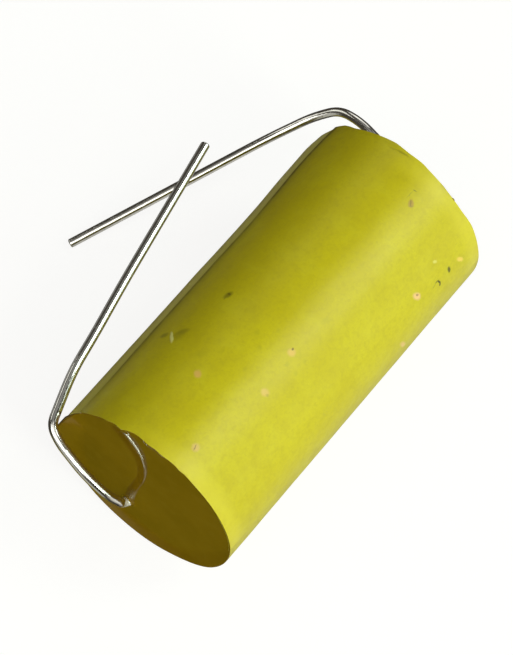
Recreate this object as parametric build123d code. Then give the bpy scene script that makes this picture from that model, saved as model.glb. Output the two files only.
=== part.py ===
from build123d import *
import math
import os

# Axial polyester film capacitor, wrap-and-fill style, lying on its side.
# A roll of metallised polyester film is sprayed with zinc on both ends, a
# tinned copper lead is soldered to each sprayed end, the roll is wrapped in
# a few turns of yellow polyester tape wider than the roll, and the two cups
# left at the ends are filled flush with amber resin. Both leads have been
# bent back along the same side of the body by hand.
#
# Frame: millimetres, origin at the middle of the body on its own axis.
# +X runs along the body from the near end to the far end, +Z is up, and the
# leads come back on the +Y side. The body rests on z = -BODY_R.

# ---- driving dimensions (mm) -------------------------------------------
BODY_R = 9.0            # outside radius over the tape
BODY_LEN = 36.0         # over the tape's two edges
TAPE_T = 0.06           # one turn of tape
TAPE_TURNS = 4
TAPE_WALL = TAPE_T * TAPE_TURNS
FILL_R = BODY_R - TAPE_WALL
SEAM_DEG = 40.0         # cut edge of the last turn, from +Y towards +Z
SEAM_RUNOUT_DEG = 50.0  # arc over which the turn below loses one thickness

ROLL_LEN = 30.0         # wound film, edge to edge
SPRAY_T = 0.4           # sprayed zinc on each end of the roll
CORE_R = 1.5            # plastic winding core
CORE_BORE_R = 1.0

FILL_FACE = 17.92       # flat of the resin, just inside the tape's edge
FILL_LIP = 17.98        # where the resin climbs the tape
FILL_LIP_W = 0.46       # width of that climb

LEAD_R = 0.425          # 0.8 mm copper wire, 0.85 mm over its tinning
TIP_ROUND = 0.15        # edge of the cut end, softened by the tin
BEND_SHARE = 0.45       # share of the shorter run that a bend takes up

SOLDER_A = 2.0          # solder cap: radius on the zinc
SOLDER_H = 1.25         # and height

HALF = BODY_LEN / 2
ROLL_HALF = ROLL_LEN / 2
SPRAY_FACE = ROLL_HALF + SPRAY_T
NEAR_SOLDER = (0.70, -3.30)   # middle of each cap, as (Y, Z)
FAR_SOLDER = (-0.82, 0.74)
SOLDER_FILM = 0.05      # solder between the wire and the zinc
LEAD_SEAT = SPRAY_FACE + SOLDER_FILM + LEAD_R   # wire centre over the zinc

# Corner points of the two wires. Each starts on the sprayed end, turns out
# through the resin, crosses the end face and folds back along the body.
NEAR_ROUTE = [
    (-LEAD_SEAT, 0.55, -1.90),
    (-LEAD_SEAT, 0.55, -4.50),
    (-17.20, 1.62, -4.45),
    (-18.60, 2.50, -4.35),
    (-19.48, 1.68, -1.68),
    (-20.21, 2.43, -0.31),
    (-20.52, 4.54, 1.56),
    (-20.21, 7.31, 3.52),
    (-19.61, 8.66, 4.33),
    (-15.06, 10.00, 5.65),
    (-11.32, 10.67, 5.91),
    (-5.66, 11.87, 6.28),
    (8.98, 14.51, 7.49),
]
FAR_ROUTE = [
    (LEAD_SEAT, -2.60, 0.60),
    (LEAD_SEAT, 0.33, 0.60),
    (19.94, 0.43, 0.60),
    (21.79, 3.84, 1.16),
    (22.60, 7.42, 1.47),
    (22.78, 9.90, 1.04),
    (21.51, 12.04, -0.52),
    (18.18, 14.88, -2.79),
    (12.20, 18.31, -4.88),
    (0.99, 24.61, -8.57),
]


def bent_wire(corners, share=BEND_SHARE):
    """Straight runs joined by tangent arcs; returns the wire and its radii."""
    pts = [Vector(*c) for c in corners]
    edges, radii = [], []
    start = pts[0]
    for a, b, c in zip(pts[:-2], pts[1:-1], pts[2:]):
        u = (a - b).normalized()
        w = (c - b).normalized()
        inner = math.acos(max(-1.0, min(1.0, u.dot(w))))
        turn = math.pi - inner
        tangent = share * min((a - b).length, (c - b).length)
        radius = tangent / math.tan(turn / 2)
        p, q = b + u * tangent, b + w * tangent
        bis = (u + w).normalized()
        mid = b + bis * (math.hypot(radius, tangent) - radius)
        if (p - start).length > 1e-6:
            edges.append(Line(start, p))
        edges.append(ThreePointArc(p, mid, q))
        radii.append((round(radius, 2), round(math.degrees(turn), 1)))
        start = q
    edges.append(Line(start, pts[-1]))
    return Wire([e for e in edges]), radii


def lead(corners):
    path, radii = bent_wire(corners)
    first = Vector(*corners[0])
    heading = (Vector(*corners[1]) - first).normalized()
    profile = Plane(origin=first, z_dir=heading) * Circle(LEAD_R)
    rod = sweep(profile, path=path)
    want = math.pi * LEAD_R**2 * path.length
    tip = Vector(*corners[-1])
    end = min(rod.edges(), key=lambda e: (e.center() - tip).length)
    rod = fillet(end, TIP_ROUND)
    print("lead length", round(path.length, 2), "volume", round(rod.volume, 3),
          "section x length", round(want, 3), "radii", radii)
    return rod


def along_x(radius, x0, x1):
    """Cylinder about the X axis between two stations."""
    return Plane(origin=(x0, 0, 0), z_dir=(1, 0, 0)) * extrude(Circle(radius), x1 - x0)


def polar(radius, degrees):
    a = math.radians(degrees)
    return (radius * math.cos(a), radius * math.sin(a))


# ---- tape wrap -----------------------------------------------------------
# Full radius from the seam round over the top and under the body, then the
# surface falls by one thickness of tape to meet the cut edge from below.
low_r = BODY_R - TAPE_T
full_end = SEAM_DEG + 360 - SEAM_RUNOUT_DEG
seam_top = polar(BODY_R, SEAM_DEG)
seam_low = polar(low_r, SEAM_DEG)
outline = [
    ThreePointArc(seam_top, polar(BODY_R, (SEAM_DEG + full_end) / 2), polar(BODY_R, full_end)),
    ThreePointArc(polar(BODY_R, full_end),
                  polar(BODY_R - 0.28 * TAPE_T, full_end + SEAM_RUNOUT_DEG / 2), seam_low),
    Line(seam_low, seam_top),
]
section = make_face(Wire(outline)) - Circle(FILL_R)
tape_wrap = Plane(origin=(-HALF, 0, 0), x_dir=(0, 1, 0), z_dir=(1, 0, 0)) * extrude(section, BODY_LEN)

# ---- roll ----------------------------------------------------------------
film_winding = along_x(FILL_R, -ROLL_HALF, ROLL_HALF) - along_x(CORE_R, -ROLL_HALF - 1, ROLL_HALF + 1)
winding_core = along_x(CORE_R, -ROLL_HALF, ROLL_HALF) - along_x(CORE_BORE_R, -ROLL_HALF - 1, ROLL_HALF + 1)
end_spray_near = along_x(FILL_R, -SPRAY_FACE, -ROLL_HALF)
end_spray_far = along_x(FILL_R, ROLL_HALF, SPRAY_FACE)

# ---- leads ---------------------------------------------------------------
lead_near = lead(NEAR_ROUTE)
lead_far = lead(FAR_ROUTE)


# ---- solder --------------------------------------------------------------
def solder_cap(side, centre):
    """Low dome of solder over the foot of a lead, flat on the zinc."""
    ball_r = (SOLDER_A**2 + SOLDER_H**2) / (2 * SOLDER_H)
    ball_x = side * (SPRAY_FACE + SOLDER_H - ball_r)
    ball = Pos(ball_x, centre[0], centre[1]) * Rot(23, 90, 31) * Sphere(ball_r)
    keep = along_x(FILL_R, SPRAY_FACE, SPRAY_FACE + 3) if side > 0 else along_x(FILL_R, -SPRAY_FACE - 3, -SPRAY_FACE)
    return ball & keep


solder_near = solder_cap(-1, NEAR_SOLDER) - lead_near
solder_far = solder_cap(1, FAR_SOLDER) - lead_far


# ---- resin ---------------------------------------------------------------
def resin(side):
    """End fill: flat face with a small climb where it wets the tape."""
    profile = [
        Line((SPRAY_FACE, 0), (SPRAY_FACE, FILL_R)),
        Line((SPRAY_FACE, FILL_R), (FILL_LIP, FILL_R)),
        ThreePointArc((FILL_LIP, FILL_R), (FILL_FACE + 0.016, FILL_R - 0.5 * FILL_LIP_W), (FILL_FACE, FILL_R - FILL_LIP_W)),
        Line((FILL_FACE, FILL_R - FILL_LIP_W), (FILL_FACE, 0)),
        Line((FILL_FACE, 0), (SPRAY_FACE, 0)),
    ]
    plug = revolve(make_face(Wire(profile)), axis=Axis.X)
    return plug if side > 0 else mirror(plug, about=Plane.YZ)


epoxy_near = resin(-1) - lead_near - solder_cap(-1, NEAR_SOLDER)
epoxy_far = resin(1) - lead_far - solder_cap(1, FAR_SOLDER)

# ---- write ---------------------------------------------------------------
nodes = {
    "tape_wrap": tape_wrap,
    "film_winding": film_winding,
    "winding_core": winding_core,
    "end_spray_near": end_spray_near,
    "end_spray_far": end_spray_far,
    "solder_near": solder_near,
    "solder_far": solder_far,
    "epoxy_near": epoxy_near,
    "epoxy_far": epoxy_far,
    "lead_near": lead_near,
    "lead_far": lead_far,
}

os.makedirs("parts", exist_ok=True)
for name, shape in nodes.items():
    solids = shape.solids()
    print(name, "solids", len(solids), "volume", round(sum(s.volume for s in solids), 3))
    export_step(solids[0] if len(solids) == 1 else Compound(children=list(solids)), f"parts/{name}.step")
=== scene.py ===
"""Looks of an axial polyester film capacitor: yellow tape wrap, brown resin end fills, folded tinned leads.

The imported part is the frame. The tape and the two resin fills are re-made here as dense meshes that carry the
seam, the torn tape edges, the resin creep and the fillets; everything else keeps its CAD mesh and gets a finish.
"""

import math

import bpy
import numpy as np
from mathutils import Matrix, Vector


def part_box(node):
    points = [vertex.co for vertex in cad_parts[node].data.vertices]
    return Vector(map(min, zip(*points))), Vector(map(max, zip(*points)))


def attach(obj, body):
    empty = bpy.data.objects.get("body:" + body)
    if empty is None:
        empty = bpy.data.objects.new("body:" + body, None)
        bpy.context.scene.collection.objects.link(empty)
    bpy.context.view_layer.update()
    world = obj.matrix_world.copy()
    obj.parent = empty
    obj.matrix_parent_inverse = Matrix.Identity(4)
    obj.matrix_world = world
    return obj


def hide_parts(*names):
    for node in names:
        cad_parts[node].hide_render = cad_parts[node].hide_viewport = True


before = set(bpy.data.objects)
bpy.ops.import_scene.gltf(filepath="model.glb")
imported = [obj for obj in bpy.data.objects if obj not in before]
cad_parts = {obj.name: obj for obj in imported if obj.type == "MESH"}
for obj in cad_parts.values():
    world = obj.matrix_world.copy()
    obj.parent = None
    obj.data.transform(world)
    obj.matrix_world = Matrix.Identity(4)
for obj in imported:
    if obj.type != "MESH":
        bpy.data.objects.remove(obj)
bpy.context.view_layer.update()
MM = 0.001

# ---------------------------------------------------------------- sizes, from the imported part
tape_lo, tape_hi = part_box("tape_wrap")
BODY_R = 0.5 * (tape_hi.z - tape_lo.z) / MM
HALF = tape_hi.x / MM
resin_lo, resin_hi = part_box("epoxy_near")
FILL_R = 0.5 * (resin_hi.z - resin_lo.z) / MM
FILL_BACK = -resin_hi.x / MM
FILL_TOP = HALF - 0.08
FLOOR_Z = -BODY_R
LAYER = 0.07  # tape thickness with its adhesive
LEAD_R = 0.425


# ---------------------------------------------------------------- small numeric helpers
def smooth(t):
    t = np.clip(t, 0.0, 1.0)
    return t * t * (3 - 2 * t)


def bump(x, centre, width):
    return np.exp(-(((x - centre) / width) ** 2))


def wobble(seed, x, scale, octaves=4):
    """Seeded smooth 1-D noise, about -1 to 1."""
    rng = np.random.RandomState(seed)
    out = np.zeros_like(x, dtype=float)
    total = 0.0
    for k in range(octaves):
        amp = 0.6**k
        for _ in range(3):
            f = (1.7**k) / scale * rng.uniform(0.7, 1.3)
            out += amp * np.sin(2 * np.pi * (f * x + rng.uniform()))
        total += amp * 1.7
    return out / total


def wobble2(seed, x, a, sx, sa, octaves=3):
    """Seeded smooth 2-D noise, about -1 to 1; a is an angle in degrees and the noise closes round it."""
    rng = np.random.RandomState(seed)
    out = np.zeros(np.broadcast(x, a).shape)
    total = 0.0
    for k in range(octaves):
        amp = 0.6**k
        for _ in range(5):
            f = (1.8**k) / sx * rng.uniform(-1.2, 1.2)
            n = round((1.8**k) * sa * rng.uniform(-1.2, 1.2))
            out = out + amp * np.sin(2 * np.pi * (f * x + rng.uniform()) + np.radians(a) * n)
        total += amp * 2.2
    return out / total


def mesh_piece(name, verts, faces, material, sharp=35.0):
    me = bpy.data.meshes.new(name)
    verts = np.asarray(verts, float) * MM
    faces = np.asarray(faces, int)
    me.vertices.add(len(verts))
    me.vertices.foreach_set("co", verts.astype(np.float32).ravel())
    me.loops.add(faces.size)
    me.loops.foreach_set("vertex_index", faces.astype(np.int32).ravel())
    me.polygons.add(len(faces))
    me.polygons.foreach_set("loop_start", np.arange(0, faces.size, faces.shape[1], dtype=np.int32))
    me.polygons.foreach_set("loop_total", np.full(len(faces), faces.shape[1], np.int32))
    me.update(calc_edges=True)
    me.validate()
    me.shade_smooth()
    me.set_sharp_from_angle(angle=math.radians(sharp))
    me.materials.append(material)
    ob = bpy.data.objects.new(name, me)
    bpy.context.scene.collection.objects.link(ob)
    return ob


def torus_faces(nu, nv):
    """Quads of a grid closed both ways."""
    u = np.arange(nu)[:, None]
    v = np.arange(nv)[None, :]
    a = u * nv + v
    b = ((u + 1) % nu) * nv + v
    c = ((u + 1) % nu) * nv + (v + 1) % nv
    d = u * nv + (v + 1) % nv
    return np.stack([a, b, c, d], -1).reshape(-1, 4)


# ---------------------------------------------------------------- node helpers
class Nodes:
    """Short calls for the nodes of one tree."""

    def __init__(self, nt):
        self.nt = nt
        self.pos = None

    def _in(self, socket, value):
        if isinstance(value, bpy.types.NodeSocket):
            self.nt.links.new(value, socket)
        elif isinstance(value, (tuple, list)):
            socket.default_value = (*value, 1.0) if len(value) == 3 and len(socket.default_value) == 4 else tuple(value)
        else:
            socket.default_value = value

    def math(self, op, a, b=0.0, c=0.0, clamp=False):
        n = self.nt.nodes.new("ShaderNodeMath")
        n.operation = op
        n.use_clamp = clamp
        for s, v in zip(n.inputs, (a, b, c)):
            self._in(s, v)
        return n.outputs[0]

    def add(self, a, b):
        return self.math("ADD", a, b)

    def mul(self, a, b):
        return self.math("MULTIPLY", a, b)

    def vec(self, x, y, z):
        n = self.nt.nodes.new("ShaderNodeCombineXYZ")
        for s, v in zip(n.inputs, (x, y, z)):
            self._in(s, v)
        return n.outputs[0]

    def vmath(self, op, a, b=(0, 0, 0)):
        n = self.nt.nodes.new("ShaderNodeVectorMath")
        n.operation = op
        self._in(n.inputs[0], a)
        self._in(n.inputs[1], b)
        return n.outputs["Value"] if op in ("DISTANCE", "LENGTH", "DOT_PRODUCT") else n.outputs[0]

    def noise(self, scale, detail=2.0, rough=0.5, vec=None, distortion=0.0, colour=False):
        """scale is in features per millimetre."""
        n = self.nt.nodes.new("ShaderNodeTexNoise")
        self.nt.links.new(self.pos if vec is None else vec, n.inputs["Vector"])
        n.inputs["Scale"].default_value = scale
        n.inputs["Detail"].default_value = detail
        n.inputs["Roughness"].default_value = rough
        n.inputs["Distortion"].default_value = distortion
        return n.outputs["Color"] if colour else n.outputs["Fac"]

    def step(self, value, lo, hi, to_lo=0.0, to_hi=1.0):
        """A smooth ramp of value from lo to hi."""
        n = self.nt.nodes.new("ShaderNodeMapRange")
        n.interpolation_type = "SMOOTHSTEP"
        self._in(n.inputs["Value"], value)
        self._in(n.inputs["From Min"], lo)
        self._in(n.inputs["From Max"], hi)
        self._in(n.inputs["To Min"], to_lo)
        self._in(n.inputs["To Max"], to_hi)
        return n.outputs["Result"]

    def mix(self, fac, a, b):
        n = self.nt.nodes.new("ShaderNodeMix")
        n.data_type = "RGBA"
        n.clamp_factor = True
        self._in(n.inputs["Factor"], fac)
        self._in(n.inputs[6], a)
        self._in(n.inputs[7], b)
        return n.outputs[2]

    def scale_colour(self, colour, factor):
        """Colour times a number."""
        n = self.nt.nodes.new("ShaderNodeVectorMath")
        n.operation = "SCALE"
        self._in(n.inputs[0], colour)
        self._in(n.inputs["Scale"], factor)
        return n.outputs[0]


class Mat(Nodes):
    """A Principled material and the nodes that feed it. Lengths in its fields are millimetres."""

    def __init__(self, name, **sockets):
        self.mat = bpy.data.materials.new(name)
        self.mat.use_nodes = True
        super().__init__(self.mat.node_tree)
        self.p = self.nt.nodes["Principled BSDF"]
        for key, value in sockets.items():
            self.set(key.replace("_", " "), value)
        tc = self.nt.nodes.new("ShaderNodeTexCoord")
        sc = self.nt.nodes.new("ShaderNodeVectorMath")
        sc.operation = "SCALE"
        self.nt.links.new(tc.outputs["Object"], sc.inputs[0])
        sc.inputs["Scale"].default_value = 1000.0
        self.pos = sc.outputs[0]
        sep = self.nt.nodes.new("ShaderNodeSeparateXYZ")
        self.nt.links.new(self.pos, sep.inputs[0])
        self.x, self.y, self.z = sep.outputs
        self._ang = None

    def set(self, key, value):
        s = self.p.inputs[key]
        if isinstance(value, bpy.types.NodeSocket):
            self.nt.links.new(value, s)
        elif isinstance(value, (tuple, list)) and len(value) == 3 and len(s.default_value) == 4:
            s.default_value = (*value, 1.0)
        else:
            s.default_value = value

    def angle(self):
        """Degrees round the X axis from +Y towards +Z."""
        if self._ang is None:
            a = self.math("ARCTAN2", self.z, self.y)
            self._ang = self.mul(a, 180.0 / math.pi)
        return self._ang

    def bump(self, height, strength=1.0, distance=0.00001, normal=None):
        """height 0 to 1 stands for distance metres."""
        n = self.nt.nodes.new("ShaderNodeBump")
        n.inputs["Strength"].default_value = strength
        n.inputs["Distance"].default_value = distance
        self._in(n.inputs["Height"], height)
        if normal is not None:
            self.nt.links.new(normal, n.inputs["Normal"])
        return n.outputs["Normal"]


# ---------------------------------------------------------------- tape
SEAM = 40.0  # degrees round from +Y towards +Z at mid length


def seam_angle(x):
    """The cut edge of the outer turn wanders a little along the body."""
    return SEAM - 0.6 + 1.3 * smooth((-x - 6) / 10) - 3.2 * smooth((x - 4) / 10) + 1.6 * smooth((x - 14) / 4) + 0.25 * wobble(3, x, 9.0)


SWELL = ((-18.0, 0.22), (-16.0, 0.22), (-8.0, 0.24), (-1.5, 0.27), (0.0, 0.30), (1.6, 0.27), (6.0, 0.27), (9.0, 0.32), (10.5, 0.38), (12.0, 0.46), (13.5, 0.49), (15.0, 0.51), (16.3, 0.57), (17.0, 0.52), (18.0, 0.31))


def outer_swell(x, a):
    """How far the loosely wound side stands out beyond the round, in millimetres."""
    t = np.array(SWELL)
    along = (np.interp(x - 0.7, t[:, 0], t[:, 1]) + np.interp(x, t[:, 0], t[:, 1]) + np.interp(x + 0.7, t[:, 0], t[:, 1])) / 3
    d = (a - 16.0 + 180) % 360 - 180
    return along * np.where(d < 0, bump(d, 0, 24), bump(d, 0, 26))


NEAR_EDGE = ((-180, -18.0), (-90, -18.02), (-30, -17.98), (0, -17.95), (25, -17.92), (35, -17.92), (40, -17.93), (45, -17.90), (52, -17.90), (60, -17.88), (65, -17.96), (70, -17.92), (73.5, -18.02), (75.5, -18.13), (77.2, -18.07), (79, -17.95), (84, -17.83), (88, -17.86), (94, -17.97), (99.5, -17.93), (101, -17.99), (104, -17.97), (110, -17.90), (113.5, -17.93), (115, -17.99), (118, -17.9), (125, -17.95), (140, -17.95), (155, -17.98), (170, -17.99), (180, -17.97))
FAR_EDGE = ((-180, 18.0), (-150, 17.94), (-100, 17.95), (-50, 17.97), (0, 17.98), (20, 18.0), (26, 18.02), (31, 18.10), (36, 18.32), (40, 18.50), (45, 18.60), (50, 18.49), (55, 18.33), (61, 18.31), (66, 18.32), (71, 18.32), (76, 18.34), (85, 18.38), (90, 18.27), (95, 18.18), (104, 18.18), (110, 18.05), (116, 17.97), (121, 17.94), (126, 17.86), (133, 17.83), (140, 17.83), (146, 17.94), (152, 18.02), (160, 17.98), (170, 17.95), (180, 18.0))


def edge_x(table, a):
    """The end of the outer turn at angle a (degrees), from its worn outline."""
    t = np.array(table)
    w = (a + 180) % 360 - 180
    fine = np.interp(w, t[:, 0], t[:, 1])
    near = 0.5 * (np.interp((w + 1.2 + 180) % 360 - 180, t[:, 0], t[:, 1]) + np.interp((w - 1.2 + 180) % 360 - 180, t[:, 0], t[:, 1]))
    return 0.5 * (fine + near)


def build_tape(material):
    n_round = 470
    # stations along the outer face, closer together at both ends, as shares 0 to 1
    ends = np.array([0.0, 0.02, 0.06, 0.12, 0.2, 0.32, 0.48, 0.7, 1.0])
    span = 36.0
    middle = np.linspace(1.4, span - 1.4, 118)
    s_out = np.concatenate([ends, middle, span - ends[::-1]])
    rows = []
    base = (np.arange(n_round) + 0.5) / n_round * 360.0
    # the profile round the body: the outer turn from its lip, all the way round to where the lip covers it
    kinds = ["lip0", "lip1", *["turn"] * (n_round - 2), "tuck0", "tuck1", "tuck2", "under"]
    x_mid = s_out - 18.0
    seam = seam_angle(x_mid)
    lift = 0.028 + 0.012 * wobble(11, x_mid, 5.0) + 0.03 * smooth((x_mid - 15.5) / 2.0)

    def outer_radius(offset, x, seam_here, lift_here, under):
        """offset: degrees on from the lip, 0 to 360."""
        a = seam_here + offset
        r = BODY_R + outer_swell(x, a)
        r = r + lift_here * np.exp(-offset / 4.0)
        # below the lip the turn underneath shows, and the wrap regains its full size behind it
        back = 360.0 - offset
        r = r - LAYER * (1 - smooth(back / 55.0))
        r = r + 0.010 * wobble2(21, x, a, 14.0, 3.0) + 0.004 * wobble2(22, x, a, 3.0, 12.0)
        return r

    verts = []
    for kind_i, kind in enumerate(kinds):
        if kind == "lip0":
            off, drop = np.full_like(x_mid, 0.0), LAYER * 0.55
        elif kind == "lip1":
            off, drop = np.full_like(x_mid, 0.10), 0.0
        elif kind == "turn":
            k = (kind_i - 2) / (n_round - 3)
            off, drop = np.full_like(x_mid, 0.45 + k * (360.0 - 0.45 - 0.12)), 0.0
        elif kind == "tuck0":
            off, drop = np.full_like(x_mid, 360.0 - 0.02), 0.006
        elif kind == "tuck1":
            off, drop = np.full_like(x_mid, 360.0 + 0.45), 0.03
        elif kind == "tuck2":
            off, drop = np.full_like(x_mid, 360.0 + 0.62), -0.005
        else:
            off, drop = np.full_like(x_mid, 0.10), LAYER * 1.0
        if kind.startswith("tuck") and kind != "tuck0":
            r = outer_radius(np.full_like(x_mid, 359.9), x_mid, seam, lift, True) - drop
            if kind == "tuck2":
                r = outer_radius(np.full_like(x_mid, 0.62), x_mid, seam, lift, False) - LAYER * 0.95
        elif kind == "under":
            r = outer_radius(off, x_mid, seam, lift, False) - drop
        else:
            r = outer_radius(off, x_mid, seam, lift, False) - drop
        a = seam + (off if kind not in ("tuck1", "tuck2") else off - 360.0)
        a = seam + off if kind == "tuck0" else a
        near = edge_x(NEAR_EDGE, a)
        far = edge_x(FAR_EDGE, a)
        x = x_mid + (near + 18.0) * (1 - smooth((x_mid + 18.0) / 1.6)) + (far - 18.0) * smooth((x_mid - 16.4) / 1.6)
        # a shallow crease where the far end's flap of tape leaves the round
        crease = 0.05 * bump(x_mid, 17.55 + 0.15 * wobble(31, a / 10.0, 2.0), 0.12) * bump((a + 180) % 360 - 180, 88.0, 7.0)
        r = r - crease
        # cut ends round over inside a hundredth or two
        tip = np.minimum(x_mid + 18.0, 18.0 - x_mid)
        r = r - 0.022 * np.clip(1 - tip / 0.06, 0, 1) ** 2
        ca, sa = np.cos(np.radians(a)), np.sin(np.radians(a))
        outer = np.stack([x, r * ca, r * sa], 1)
        a0, a1 = a[0], a[-1]

        def ring(xx, rr, deg):
            return [xx, rr * math.cos(math.radians(deg)), rr * math.sin(math.radians(deg))]

        r1, x1 = r[-1], x[-1]
        stop = min(x1 - 0.015, 18.0 - 0.03 + 0.0 * x1)
        far_ring = [ring(x1 - 0.004, r1 - 0.035, a1), ring(stop, min(r1 - LAYER, r1 - 0.05), a1), ring(stop - 0.004, 0.5 * (FILL_R + r1 - LAYER), a1), ring(stop - 0.01, FILL_R + 0.02, a1)]
        inner = [ring(17.4, FILL_R + 0.004, a1), ring(6.0, FILL_R + 0.004, 0.5 * (a0 + a1)), ring(-6.0, FILL_R + 0.004, 0.5 * (a0 + a1)), ring(-17.4, FILL_R + 0.004, a0)]
        r0, x0 = r[0], x[0]
        start = max(x0 + 0.01, -17.99)
        near_ring = [ring(start + 0.01, FILL_R + 0.02, a0), ring(start + 0.004, 0.5 * (FILL_R + r0 - LAYER), a0), ring(start, r0 - LAYER, a0), ring(x0 + 0.003, r0 - 0.035, a0)]
        rows.append(np.vstack([outer, far_ring, inner, near_ring]))
    grid = np.array(rows)
    nu, nv = grid.shape[:2]
    ob = mesh_piece("tape_skin", grid.reshape(-1, 3), torus_faces(nu, nv)[:, ::-1], material, sharp=40.0)
    return ob


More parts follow.
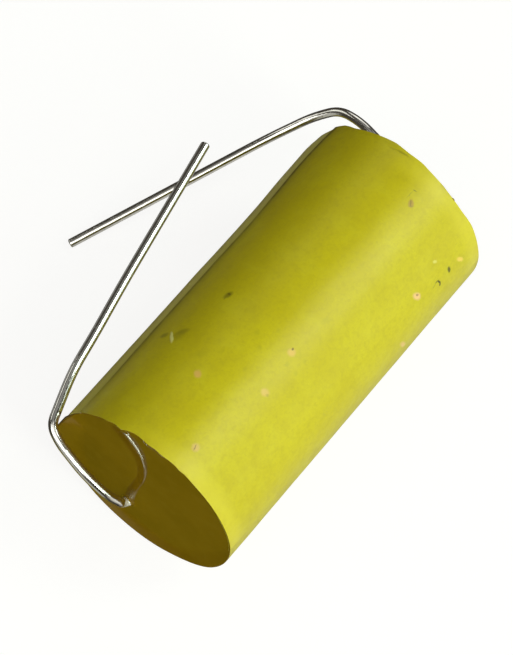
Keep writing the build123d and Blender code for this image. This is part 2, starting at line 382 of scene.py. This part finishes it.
def tape_material():
    m = Mat("tape", Roughness=0.36, Specular_IOR_Level=0.36, Coat_Weight=0.0)
    ang = m.angle()
    warp = m.noise(1.1, 3.0, 0.55)
    # broad tone: the film is clear yellow over a slightly uneven wind
    broad = m.noise(0.16, 3.0, 0.5)
    along = m.noise(0.9, 2.0, 0.5, vec=m.vec(m.mul(m.x, 0.12), m.y, m.z))
    fine = m.noise(5.0, 3.0, 0.6)
    base = m.mix(m.step(broad, 0.35, 0.65), (0.700, 0.602, 0.0045), (0.740, 0.650, 0.0070))
    base = m.mix(m.mul(m.step(along, 0.42, 0.72), 0.20), base, (0.620, 0.515, 0.0060))
    base = m.mix(m.mul(m.step(fine, 0.38, 0.66), 0.26), base, (0.600, 0.500, 0.0080))
    base = m.mix(m.mul(m.step(m.noise(2.3, 3.0, 0.6), 0.48, 0.66), 0.24), base, (0.560, 0.465, 0.0060))
    blotch = m.noise(0.75, 3.0, 0.6, distortion=0.4)
    base = m.mix(m.mul(m.step(blotch, 0.46, 0.70), 0.22), base, (0.560, 0.460, 0.0070))
    haze = m.noise(0.42, 3.0, 0.65, vec=m.vmath("ADD", m.pos, (9.0, 40.0, 17.0)), distortion=0.6)
    base = m.mix(m.mul(m.step(haze, 0.50, 0.68), 0.20), base, (0.800, 0.735, 0.0300))

    # marks on the film, in millimetres along the body and round it
    nx = m.noise(2.3, 2.0, 0.6)
    ny = m.noise(2.3, 2.0, 0.6, vec=m.vmath("ADD", m.pos, (31.0, 7.0, 3.0)))
    u = m.add(m.x, m.mul(m.add(nx, -0.5), 0.22))
    v = m.add(m.mul(ang, BODY_R * math.pi / 180.0), m.mul(m.add(ny, -0.5), 0.22))

    def mark(x0, deg, a, b, turn=0.0, soft=0.5):
        """An oval centred x0 mm along and deg round; a, b its half sizes; turn tips its long side from along to round."""
        du = m.add(u, -x0)
        dv = m.add(v, -deg * BODY_R * math.pi / 180.0)
        c, s = math.cos(math.radians(turn)), math.sin(math.radians(turn))
        p = m.math("MULTIPLY_ADD", du, c / a, m.mul(dv, s / a))
        q = m.math("MULTIPLY_ADD", du, -s / b, m.mul(dv, c / b))
        d = m.math("SQRT", m.math("MULTIPLY_ADD", p, p, m.mul(q, q)))
        return m.step(d, 1.0 + soft, 1.0 - soft, 0.0, 1.0)

    def stroke(x0, d0, x1, d1, w, soft=0.4):
        k = BODY_R * math.pi / 180.0
        du, dv = x1 - x0, (d1 - d0) * k
        return mark(0.5 * (x0 + x1), 0.5 * (d0 + d1), 0.5 * math.hypot(du, dv), w, math.degrees(math.atan2(dv, du)), soft)

    pits = []
    # pale pinkish chips where the film is rubbed through
    for x0, deg, a, b, turn, strength, colour in (
        (-3.46, 118.59, 0.33, 0.30, 21, 0.85, (0.93, 0.66, 0.15)),
        (-7.73, 121.96, 0.33, 0.29, 29, 0.60, (0.90, 0.62, 0.16)),
        (9.46, 154.71, 0.46, 0.27, 54, 0.92, (1.0, 0.66, 0.28)),
        (6.52, 177.02, 0.62, 0.21, 63, 0.65, (0.95, 0.64, 0.24)),
        (-15.52, 113.38, 0.31, 0.28, 12, 0.65, (0.86, 0.60, 0.20)),
        (-10.33, 88.28, 0.32, 0.27, -42, 0.75, (0.90, 0.56, 0.13)),
        (15.44, 162.45, 0.45, 0.19, 53, 0.92, (1.0, 0.74, 0.12)),
        (12.77, 147.91, 0.20, 0.13, 50, 0.60, (0.90, 0.84, 0.22)),
        (14.45, 113.90, 0.32, 0.21, -34, 0.62, (0.52, 0.30, 0.07)),
    ):
        k = mark(x0, deg, a * 1.1, b * 1.1, turn, 0.5)
        base = m.mix(m.math("MINIMUM", m.mul(k, strength * 1.22), 1.0), base, colour)
        pits.append(m.mul(k, 0.35))
    # dark specks and small scratches that have taken dirt, with painted shade beside the lifted sliver and in the far
    # end's crease
    for k, strength, colour in (
        (mark(-3.17, 117.75, 0.12, 0.10, 20, 0.45), 0.90, (0.20, 0.12, 0.005)),
        (mark(9.55, 154.16, 0.17, 0.10, 56, 0.5), 0.70, (0.36, 0.15, 0.05)),
        (stroke(-15.31, 112.79, -15.81, 113.78, 0.055, 0.4), 0.70, (0.36, 0.20, 0.06)),
        (mark(-7.78, 123.85, 0.13, 0.12, 32, 0.6), 0.40, (0.45, 0.33, 0.03)),
        (mark(13.84, 160.85, 0.31, 0.18, -90, 0.4), 0.90, (0.10, 0.09, 0.002)),
        (stroke(12.29, 159.40, 11.84, 159.64, 0.075, 0.45), 0.80, (0.12, 0.10, 0.002)),
        (stroke(11.84, 159.64, 11.41, 161.09, 0.060, 0.6), 0.50, (0.30, 0.26, 0.006)),
        (stroke(12.27, 159.40, 12.44, 162.88, 0.11, 0.4), 0.95, (0.07, 0.06, 0.002)),
        (stroke(12.44, 162.30, 12.32, 164.48, 0.11, 0.4), 0.90, (0.09, 0.08, 0.002)),
        (mark(-2.50, 69.55, 0.42, 0.25, 20, 0.6), 0.72, (0.20, 0.16, 0.003)),
        (stroke(-2.36, 68.60, -2.37, 70.79, 0.085, 0.45), 0.80, (0.15, 0.12, 0.002)),
        (stroke(-2.76, 69.25, -3.07, 69.79, 0.060, 0.6), 0.50, (0.30, 0.24, 0.004)),
        (stroke(14.71, 112.49, 14.25, 114.66, 0.055, 0.5), 0.60, (0.20, 0.13, 0.02)),
        (stroke(14.09, 114.09, 14.43, 115.86, 0.060, 0.5), 0.45, (0.30, 0.20, 0.05)),
        (stroke(15.55, 109.92, 15.67, 112.03, 0.060, 0.45), 0.75, (0.24, 0.20, 0.01)),
        (stroke(15.38, 110.32, 14.64, 110.06, 0.050, 0.6), 0.45, (0.36, 0.30, 0.02)),
        # painted shade: the next two dark strokes in the crease by the far end's flap
        (stroke(17.66, 83.34, 17.82, 89.04, 0.070, 0.6), 0.32, (0.36, 0.29, 0.01)),
        (stroke(17.82, 88.60, 17.85, 96.16, 0.085, 0.6), 0.55, (0.22, 0.18, 0.005)),
        # painted shadows: the next three dark patches beside the lifted sliver
        (mark(-7.95, 62.0, 0.60, 0.46, 30, 0.7), 0.45, (0.38, 0.31, 0.004)),
        (stroke(-8.55, 51.3, -8.10, 54.6, 0.26, 0.7), 0.60, (0.28, 0.22, 0.003)),
        (stroke(-7.75, 60.2, -7.05, 65.2, 0.26, 0.7), 0.55, (0.34, 0.28, 0.003)),
        (mark(-8.60, 81.8, 0.55, 0.34, 40, 0.8), 0.22, (0.42, 0.36, 0.003)),
        (mark(-4.15, 97.6, 0.25, 0.18, 0, 0.8), 0.25, (0.42, 0.37, 0.006)),
        (mark(-5.10, 103.8, 0.22, 0.18, 0, 0.8), 0.25, (0.42, 0.37, 0.006)),
        (mark(-2.82, 105.6, 0.20, 0.16, 0, 0.8), 0.22, (0.45, 0.39, 0.010)),
        (mark(-4.48, 120.9, 0.18, 0.15, 0, 0.8), 0.28, (0.45, 0.42, 0.010)),
        (mark(-4.50, 127.5, 0.18, 0.15, 0, 0.8), 0.25, (0.45, 0.42, 0.010)),
        (mark(-3.10, 126.9, 0.20, 0.15, 0, 0.8), 0.22, (0.45, 0.42, 0.010)),
        (mark(-7.40, 105.8, 0.22, 0.16, 0, 0.8), 0.20, (0.45, 0.40, 0.008)),
        (mark(-7.30, 89.8, 0.30, 0.16, 0, 0.8), 0.20, (0.45, 0.38, 0.006)),
        (mark(0.95, 121.0, 0.45, 0.20, 30, 0.8), 0.22, (0.48, 0.44, 0.012)),
        (mark(17.6, 139.0, 0.06, 0.20, 0, 0.6), 0.30, (0.40, 0.36, 0.02)),
    ):
        base = m.mix(m.mul(k, strength), base, colour)
        pits.append(m.mul(k, -0.5))
    # a lifted sliver of film, raised in the bump, with a painted highlight in its colour
    lifted_sliver_painted_highlight = stroke(-7.79, 55.69, -8.80, 62.13, 0.155, 0.3)
    base = m.mix(m.mul(lifted_sliver_painted_highlight, 0.97), base, (1.0, 0.98, 0.30))
    # scuffs on the lower side
    scuff_n = m.noise(3.0, 4.0, 0.7, vec=m.vec(m.mul(m.x, 2.2), m.y, m.z))
    for k in (mark(-4.1, 160.5, 0.9, 0.5, 10, 0.7), mark(11.0, 172.0, 1.2, 0.5, 0, 0.7)):
        base = m.mix(m.mul(m.mul(k, m.step(scuff_n, 0.5, 0.62)), 0.25), base, (0.55, 0.47, 0.08))

    # painted light: a slightly paler tone on the top of the tape towards both ends
    ends = m.mul(m.add(m.step(m.x, 15.7, 17.3), m.step(m.x, -15.6, -17.3)), m.step(ang, 84.0, 106.0))
    base = m.mix(m.mul(ends, 0.42), base, (0.90, 0.79, 0.05))

    # painted shade in the seam's crevice, and the cut ends with the layers' edges showing
    seam_here = m.add(SEAM - 0.6, m.math("SUBTRACT", m.mul(m.step(m.mul(m.x, -1.0), 6.0, 16.0), 1.3), m.math("SUBTRACT", m.mul(m.step(m.x, 4.0, 14.0), 3.2), m.mul(m.step(m.x, 14.0, 18.0), 1.6))))
    off = m.math("SUBTRACT", ang, seam_here)
    seam_painted_shade = m.step(m.math("ABSOLUTE", m.add(off, -0.60)), 3.0, 0.4, 0.0, 1.0)
    seam_painted_shade = m.mul(seam_painted_shade, m.add(m.step(m.noise(0.8, 3.0, 0.6), 0.25, 0.6, 0.34, 0.60), m.step(m.x, 6.0, 11.0, 0.0, 0.22)))
    seam_painted_shade = m.mul(seam_painted_shade, m.step(m.x, -17.0, -12.0, 0.35, 1.0))
    # painted sheen: a paler tone on the turn below the cut edge, standing in for its grazing sheen
    below = m.mul(m.mul(m.step(off, -0.2, -1.6), m.step(off, -26.0, -14.0)), m.step(m.x, 7.0, 12.0, 0.8, 1.0))
    base = m.mix(m.mul(below, 0.72), base, (1.0, 0.925, 0.26))
    # painted shade: a soft darker band along the cut edge of the outer turn
    base = m.mix(m.mul(m.step(m.math("ABSOLUTE", m.add(off, -2.2)), 7.0, 1.0), 0.30), base, (0.40, 0.32, 0.012))
    # painted shade: the thin dark line in the seam's crevice
    base = m.mix(seam_painted_shade, base, (0.13, 0.10, 0.008))
    radius = m.math("SQRT", m.math("MULTIPLY_ADD", m.y, m.y, m.mul(m.z, m.z)))
    geo = m.nt.nodes.new("ShaderNodeNewGeometry")
    flat = m.math("ABSOLUTE", m.vmath("DOT_PRODUCT", geo.outputs["True Normal"], (1.0, 0.0, 0.0)))
    face = m.step(flat, 0.6, 0.85)
    rings = m.noise(14.0, 1.0, 0.5, vec=m.vec(radius, m.mul(ang, 0.004), 0.0))
    end_tone = m.mix(m.step(rings, 0.4, 0.6), (0.62, 0.50, 0.045), (0.80, 0.72, 0.12))
    base = m.mix(m.mul(face, 0.85), base, end_tone)
    # resin stains along both ends of the wrap
    end_x = m.math("ABSOLUTE", m.x)
    stain = m.mul(m.step(end_x, 17.2, 18.05), m.step(m.noise(0.7, 3.0, 0.6), 0.5, 0.75))
    base = m.mix(m.mul(stain, 0.35), base, (0.48, 0.34, 0.020))
    m.set("Base Color", base)

    rough = m.step(m.noise(1.6, 4.0, 0.65), 0.3, 0.7, 0.31, 0.41)
    for p in (pits[0], pits[2]):
        rough = m.add(rough, m.mul(p, 0.3))
    m.set("Roughness", rough)
    height = m.mul(warp, 0.9)
    height = m.add(height, m.mul(m.noise(9.0, 3.0, 0.6), 0.16))
    height = m.add(height, m.mul(m.noise(1.4, 2.0, 0.5, vec=m.vec(m.mul(m.x, 0.25), m.y, m.z)), 0.7))
    height = m.add(height, m.mul(m.noise(0.21, 2.0, 0.5, vec=m.vmath("ADD", m.pos, (3.0, 11.0, 5.0))), 4.0))
    for p in pits[:16]:
        height = m.add(height, m.mul(p, 1.6))
    height = m.add(height, m.mul(lifted_sliver_painted_highlight, 2.2))
    m.set("Normal", m.bump(height, 1.0, 0.000014))
    return m.mat


# ---------------------------------------------------------------- resin end fills
def resin_material():
    m = Mat("resin", Roughness=0.03, Specular_IOR_Level=0.42, Coat_Weight=0.0)
    broad = m.noise(0.22, 3.0, 0.55)
    cloud = m.noise(0.9, 4.0, 0.6)
    base = m.mix(m.step(broad, 0.3, 0.7), (0.290, 0.170, 0.0022), (0.330, 0.194, 0.0050))
    base = m.mix(m.mul(m.step(cloud, 0.45, 0.75), 0.25), base, (0.355, 0.220, 0.020))
    # fine filler grains
    grain = m.noise(7.0, 2.0, 0.7)
    base = m.mix(m.mul(m.step(grain, 0.62, 0.75), 0.12), base, (0.38, 0.25, 0.018))
    base = m.mix(m.mul(m.step(grain, 0.40, 0.28), 0.12), base, (0.20, 0.115, 0.001))
    m.set("Base Color", base)
    m.set("Roughness", m.step(m.noise(0.8, 4.0, 0.6), 0.3, 0.7, 0.02, 0.05))
    height = m.add(m.mul(m.noise(0.35, 2.0, 0.5), 0.4), m.mul(m.noise(6.0, 2.0, 0.6), 0.02))
    m.set("Normal", m.bump(height, 1.0, 0.00002))
    return m.mat


# How far the near fill stands proud of the cut tape, round its lower side and up to the drip at the left.
BEAD = ((-180, 0.0), (-170, 0.05), (-162, 0.16), (-152, 0.27), (-140, 0.31), (-130, 0.26), (-118, 0.20), (-108, 0.20), (-98, 0.26), (-86, 0.28), (-68, 0.29), (-50, 0.32), (-30, 0.32), (-14, 0.36), (-6, 0.50), (2, 0.68), (9, 0.80), (15, 0.82), (20, 0.74), (25, 0.46), (30, 0.17), (35, 0.03), (40, 0.0), (180, 0.0))


def bead_height(a):
    t = np.array(BEAD)
    w = (a + 180) % 360 - 180
    return sum(np.interp((w + d + 180) % 360 - 180, t[:, 0], t[:, 1]) for d in (-4, -2, 0, 2, 4)) / 5


def build_resin(name, side, foot, ear, material):
    """The poured fill at one end. side is -1 or 1 along X; foot is (y, z) where the lead leaves the surface."""
    n_round, n_in, n_rim = 480, 60, 40
    ang = np.arange(n_round) / n_round * 360.0
    ca, sa = np.cos(np.radians(ang)), np.sin(np.radians(ang))
    # it has run over the cut ends of the tape, almost to the outside of the wrap
    table = NEAR_EDGE if side < 0 else FAR_EDGE
    wrap_r = BODY_R + outer_swell(np.full_like(ang, side * 18.0), ang)
    back = (SEAM - ang) % 360.0
    wrap_r = wrap_r - LAYER * (1 - smooth(back / 55.0))
    cut = np.minimum(np.abs(edge_x(table, ang)), 18.0 - 0.03 if side > 0 else 19.0)
    bead = bead_height(ang) if ear else 0.10 * smooth(wobble2(63, 0 * ang, ang, 1.0, 3.0) - 0.2)
    lip = (0.018 if side < 0 else 0.10) * (1 - smooth(bead / 0.12))
    rim_r = wrap_r - lip - 0.006 * (1 + wobble2(61 if side < 0 else 62, 0 * ang, ang, 1.0, 9.0))
    if ear:
        d = (ang - 17.0 + 180) % 360 - 180
        rim_r = rim_r + 0.13 * np.where(d < 0, bump(d, 0, 14.0), bump(d, 0, 8.0))
        # it has also wetted the lifted lip at the seam
        rim_r = rim_r + 0.05 * bump(ang, 42.0, 7.0)
    else:
        # a stray bead of resin on the rim
        rim_r = rim_r + 0.20 * bump(ang, 130.6, 1.3)
    rim_h = cut + 0.014 + bead
    flat_r = FILL_R - 0.55 - 1.5 * smooth(bead / 0.4)

    def face(y, z):
        """Height of the open surface away from the rim."""
        h = np.full_like(y, FILL_TOP)
        h = h + 0.004 * np.sin(0.42 * y + 0.9) * np.cos(0.31 * z - 0.4)
        d = np.hypot(y - foot[0], z - foot[1])
        # it climbs the lead as a small fillet
        return h + 0.22 * np.exp(-np.clip(d - 0.42, 0, None) / 0.13) + 0.02 * np.exp(-((d / 1.1) ** 2))

    shares = np.linspace(0, 1, n_in + 1)[1:]
    verts = [[side * float(face(np.zeros(1), np.zeros(1))[0]), 0.0, 0.0]]
    rings = []
    for s in shares:
        rr = flat_r * s
        y, z = rr * ca, rr * sa
        rings.append(np.stack([side * face(y, z), y, z], 1))
    # up to the rim, then over it in a quarter round
    turn = np.minimum(0.16, 0.012 + 0.55 * bead)
    for t in (np.arange(n_rim) + 1) / n_rim:
        rr = flat_r + (rim_r - turn - flat_r) * t
        y, z = rr * ca, rr * sa
        base = face(y, z)
        climb = t * t * (1.6 - 0.6 * t) * (bead > 0.03) + t * t * (0.35 + 0.65 * t) * (bead <= 0.03)
        rings.append(np.stack([side * (base + (rim_h - base) * climb), y, z], 1))
    edge = np.abs(rings[-1][:, 0])
    for q in np.radians((15, 30, 45, 60, 75, 90)):
        rr = rim_r - turn + turn * math.sin(q)
        rings.append(np.stack([side * (edge - turn * (1 - math.cos(q))), rr * ca, rr * sa], 1))
    under = cut - 0.05
    for x, rr in ((under, rim_r), (under, np.full(n_round, FILL_R - 0.002)), (np.full(n_round, 17.0), np.full(n_round, FILL_R - 0.002)), (np.full(n_round, FILL_BACK + 0.002), np.full(n_round, FILL_R - 0.002))):
        rings.append(np.stack([side * x, rr * ca, rr * sa], 1))
    for r in rings:
        verts.extend(r.tolist())
    back_centre = len(verts)
    verts.append([side * (FILL_BACK + 0.002), 0.0, 0.0])
    n = n_round
    quads, tris = [], []
    idx = np.arange(n)
    nxt = (idx + 1) % n
    for k in range(len(rings) - 1):
        a0, b0 = 1 + k * n, 1 + (k + 1) * n
        quads.append(np.stack([a0 + idx, b0 + idx, b0 + nxt, a0 + nxt], 1))
    last = 1 + (len(rings) - 1) * n
    tris.append(np.stack([np.zeros(n, int), 1 + idx, 1 + nxt], 1))
    tris.append(np.stack([np.full(n, back_centre), last + nxt, last + idx], 1))
    quads = np.concatenate(quads)
    tri_all = np.concatenate([np.concatenate([quads[:, [0, 1, 2]], quads[:, [0, 2, 3]]]), *tris])
    if side < 0:
        tri_all = tri_all[:, ::-1]
    return mesh_piece(name, verts, tri_all, material, sharp=50.0)


# ---------------------------------------------------------------- finishes for the CAD nodes that stay
def wire_material():
    m = Mat("tinned_wire", Metallic=1.0, Roughness=0.12)
    tone = m.noise(1.6, 4.0, 0.6)
    fine = m.noise(11.0, 3.0, 0.65)
    base = m.mix(m.step(tone, 0.3, 0.7), (0.75, 0.745, 0.725), (0.86, 0.855, 0.83))
    base = m.mix(m.mul(m.step(fine, 0.58, 0.72), 0.35), base, (0.55, 0.53, 0.49))
    # a duller, paler patch at the tight corner of the near wire, rougher and less metallic, its paler colour a painted
    # highlight, so that it reads as one wire beside its own reflections
    foot = m.step(m.vmath("DISTANCE", m.pos, (-18.60, 2.45, -4.25)), 1.30, 0.65)
    base = m.mix(foot, base, (0.93, 0.92, 0.84))
    m.set("Base Color", base)
    m.set("Metallic", m.math("SUBTRACT", 1.0, m.mul(foot, 0.60)))
    m.set("Roughness", m.add(m.step(m.noise(2.6, 4.0, 0.65), 0.3, 0.7, 0.05, 0.16), m.mul(foot, 0.28)))
    height = m.add(m.mul(m.noise(0.9, 2.0, 0.5), 1.0), m.mul(m.noise(9.0, 3.0, 0.6), 0.10))
    m.set("Normal", m.bump(height, 1.0, 0.00003))
    return m.mat


def solder_material():
    m = Mat("solder", Metallic=1.0, Roughness=0.3)
    t = m.noise(2.4, 4.0, 0.6)
    m.set("Base Color", m.mix(m.step(t, 0.35, 0.7), (0.50, 0.50, 0.49), (0.66, 0.66, 0.65)))
    m.set("Roughness", m.step(m.noise(4.0, 3.0, 0.6), 0.3, 0.7, 0.22, 0.42))
    m.set("Normal", m.bump(m.noise(3.0, 4.0, 0.6), 1.0, 0.00008))
    return m.mat


def zinc_material():
    m = Mat("zinc_spray", Metallic=0.8, Roughness=0.7)
    t = m.noise(6.0, 4.0, 0.7)
    m.set("Base Color", m.mix(m.step(t, 0.35, 0.65), (0.34, 0.35, 0.36), (0.52, 0.53, 0.54)))
    m.set("Roughness", m.step(t, 0.3, 0.7, 0.60, 0.85))
    m.set("Normal", m.bump(m.noise(9.0, 4.0, 0.7), 1.0, 0.00012))
    return m.mat


def film_material():
    m = Mat("metallised_film", Metallic=0.9, Roughness=0.25)
    r = m.math("SQRT", m.math("MULTIPLY_ADD", m.y, m.y, m.mul(m.z, m.z)))
    lines = m.noise(26.0, 1.0, 0.5, vec=m.vec(r, m.mul(m.angle(), 0.003), m.mul(m.x, 0.01)))
    m.set("Base Color", m.mix(m.step(lines, 0.4, 0.6), (0.55, 0.56, 0.58), (0.78, 0.79, 0.81)))
    m.set("Roughness", m.step(m.noise(1.5, 3.0, 0.6), 0.3, 0.7, 0.18, 0.36))
    m.set("Normal", m.bump(lines, 1.0, 0.00001))
    return m.mat


def core_material():
    m = Mat("core_plastic", Roughness=0.5, Specular_IOR_Level=0.4)
    t = m.noise(1.2, 3.0, 0.6)
    m.set("Base Color", m.mix(m.step(t, 0.35, 0.65), (0.62, 0.60, 0.54), (0.72, 0.70, 0.65)))
    m.set("Roughness", m.step(m.noise(3.0, 3.0, 0.6), 0.3, 0.7, 0.42, 0.60))
    m.set("Normal", m.bump(m.noise(4.0, 3.0, 0.6), 1.0, 0.00003))
    return m.mat


tape_mat, resin_mat = tape_material(), resin_material()
tape = build_tape(tape_mat)
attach(tape, "root")
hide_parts("tape_wrap")
near_fill = build_resin("resin_near_skin", -1, (2.08, -4.40), True, resin_mat)
far_fill = build_resin("resin_far_skin", 1, (0.38, 0.60), False, resin_mat)
for piece, node in ((near_fill, "epoxy_near"), (far_fill, "epoxy_far")):
    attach(piece, "root")
    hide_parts(node)
finishes = {
    "lead_near": wire_material(),
    "solder_near": solder_material(),
    "end_spray_near": zinc_material(),
    "film_winding": film_material(),
    "winding_core": core_material(),
}
finishes["lead_far"] = finishes["lead_near"]
finishes["solder_far"] = finishes["solder_near"]
finishes["end_spray_far"] = finishes["end_spray_near"]
for node, mat in finishes.items():
    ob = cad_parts[node]
    if not ob.material_slots:
        ob.data.materials.append(mat)
    for s in ob.material_slots:
        s.link = "OBJECT"
        s.material = mat


# ---------------------------------------------------------------- stage, light and camera
def area_light(name, azimuth, elevation, distance, width, height, radiance, colour=(1, 1, 1), mirrored_only=False):
    """A soft panel facing the body. radiance is what it looks like in a mirror."""
    a, e = math.radians(azimuth), math.radians(elevation)
    d = Vector((math.cos(e) * math.cos(a), math.cos(e) * math.sin(a), math.sin(e)))
    li = bpy.data.lights.new(name, "AREA")
    li.shape = "RECTANGLE"
    li.size, li.size_y = width, height
    li.energy = radiance * math.pi * width * height
    li.color = colour
    ob = bpy.data.objects.new(name, li)
    ob.location = d * distance
    ob.rotation_mode = "QUATERNION"
    ob.rotation_quaternion = (-d).to_track_quat("-Z", "Y")
    ob.visible_camera = False
    ob.visible_diffuse = not mirrored_only
    bpy.context.scene.collection.objects.link(ob)
    return ob


area_light("panel_key", -60, 13, 0.70, 0.50, 0.66, 0.95, (0.91, 1.06, 0.90))
area_light("strip_mid", -54, 46, 0.69, 0.20, 0.40, 3.1, (0.93, 1.05, 0.92))
area_light("strip_key", -106, 28, 0.68, 0.10, 0.34, 13.0, (0.94, 1.05, 0.86))
area_light("panel_side", -88, 24, 0.70, 0.20, 0.50, 1.2, (0.92, 1.05, 0.90))
area_light("panel_near", -142, 46, 0.70, 0.60, 0.68, 0.95, (1.0, 0.972, 0.90))
# Cards that only show up as reflections, in the bright wire and as the tape's sheen.
area_light("sheen_mid", -54, 46, 0.70, 0.20, 0.40, 2.8, (0.95, 1.03, 0.95), mirrored_only=True)
area_light("card_bend", 106, 37, 0.71, 0.42, 0.20, 1.00, (1.0, 0.99, 0.90), mirrored_only=True)
area_light("card_wire", -170, 38, 0.72, 0.95, 0.50, 1.35, (1.0, 0.995, 0.93), mirrored_only=True)

# The room: a dim warm shell with a few soft lighter areas.
world = bpy.data.worlds.new("studio")
world.use_nodes = True
wn = Nodes(world.node_tree)
wc = wn.nt.nodes.new("ShaderNodeTexCoord")
room = (0.056, 0.050, 0.039)
for az, el, inner, outer, colour in (
    (100, 84, 8, 32, (0.26, 0.255, 0.235)),
    (-45, -55, 12, 36, (0.56, 0.55, 0.51)),
    (88, -6, 5, 24, (0.34, 0.335, 0.31)),
    (-78, -26, 6, 50, (0.80, 0.785, 0.69)),
    (-172, -28, 8, 27, (0.46, 0.45, 0.38)),
    (178, 3, 6, 26, (0.50, 0.49, 0.44)),
    (30, 41, 6, 18, (1.25, 1.23, 1.14)),
    (172, 36, 4, 18, (1.0, 0.98, 0.90)),
    (142, -60, 10, 28, (0.235, 0.195, 0.010)),
):
    az, el = math.radians(az), math.radians(el)
    to = (math.cos(el) * math.cos(az), math.cos(el) * math.sin(az), math.sin(el))
    near = wn.step(wn.vmath("DOT_PRODUCT", wc.outputs["Generated"], to), math.cos(math.radians(outer)), math.cos(math.radians(inner)))
    room = wn.mix(near, room, colour)
bg = world.node_tree.nodes["Background"]
world.node_tree.links.new(room, bg.inputs["Color"])
bg.inputs["Strength"].default_value = 1.0
bpy.context.scene.world = world

# The sheet it lies on and the sweep behind are plain and pale, lit apart, and leave the part's own shading alone.
fm = Mat("pale_floor", Roughness=0.9, Specular_IOR_Level=0.0)
paper = fm.noise(0.05, 3.0, 0.5)
fm.set("Base Color", fm.mix(paper, (0.22, 0.22, 0.218), (0.24, 0.24, 0.238)))
fm.set("Emission Color", (1.0, 0.998, 0.992))
fm.set("Emission Strength", 0.87)
bpy.ops.mesh.primitive_grid_add(x_subdivisions=8, y_subdivisions=8, size=6.0, location=(0, 0, FLOOR_Z * MM))
floor = bpy.context.object
floor.name = "floor"
floor.data.materials.append(fm.mat)
bm = Mat("pale_sweep", Roughness=1.0, Specular_IOR_Level=0.0)
bm.set("Base Color", bm.mix(bm.noise(0.001, 2.0, 0.5), (0.10, 0.10, 0.10), (0.12, 0.12, 0.12)))
bm.set("Emission Color", (1.0, 0.998, 0.992))
bm.set("Emission Strength", 0.97)
bpy.ops.mesh.primitive_uv_sphere_add(segments=48, ring_count=24, radius=2.9, location=(0, 0, 0))
sweep = bpy.context.object
sweep.name = "sweep"
sweep.data.materials.append(bm.mat)
for ob in (floor, sweep):
    ob.visible_glossy = False
    ob.visible_diffuse = False
    ob.visible_transmission = False
sweep.visible_shadow = False

cam_data = bpy.data.cameras.new("camera")
cam_data.sensor_fit = "AUTO"
cam_data.sensor_width = 36.0
cam_data.lens = 147.56
cam_data.clip_start, cam_data.clip_end = 0.01, 20.0
cam = bpy.data.objects.new("camera", cam_data)
back = -Vector((0.40217, 0.30781, -0.86227))
right = Vector((0.60779, -0.79410, 0.0))
up = back.cross(right)
cam.matrix_world = Matrix(
    (
        (right.x, up.x, back.x, -0.0939596),
        (right.y, up.y, back.y, -0.0698725),
        (right.z, up.z, back.z, 0.2022391),
        (0, 0, 0, 1),
    )
)
bpy.context.scene.collection.objects.link(cam)
bpy.context.scene.camera = cam
bpy.context.scene.view_settings.view_transform = "Standard"
bpy.context.scene.view_settings.look = "None"

bpy.context.view_layer.update()
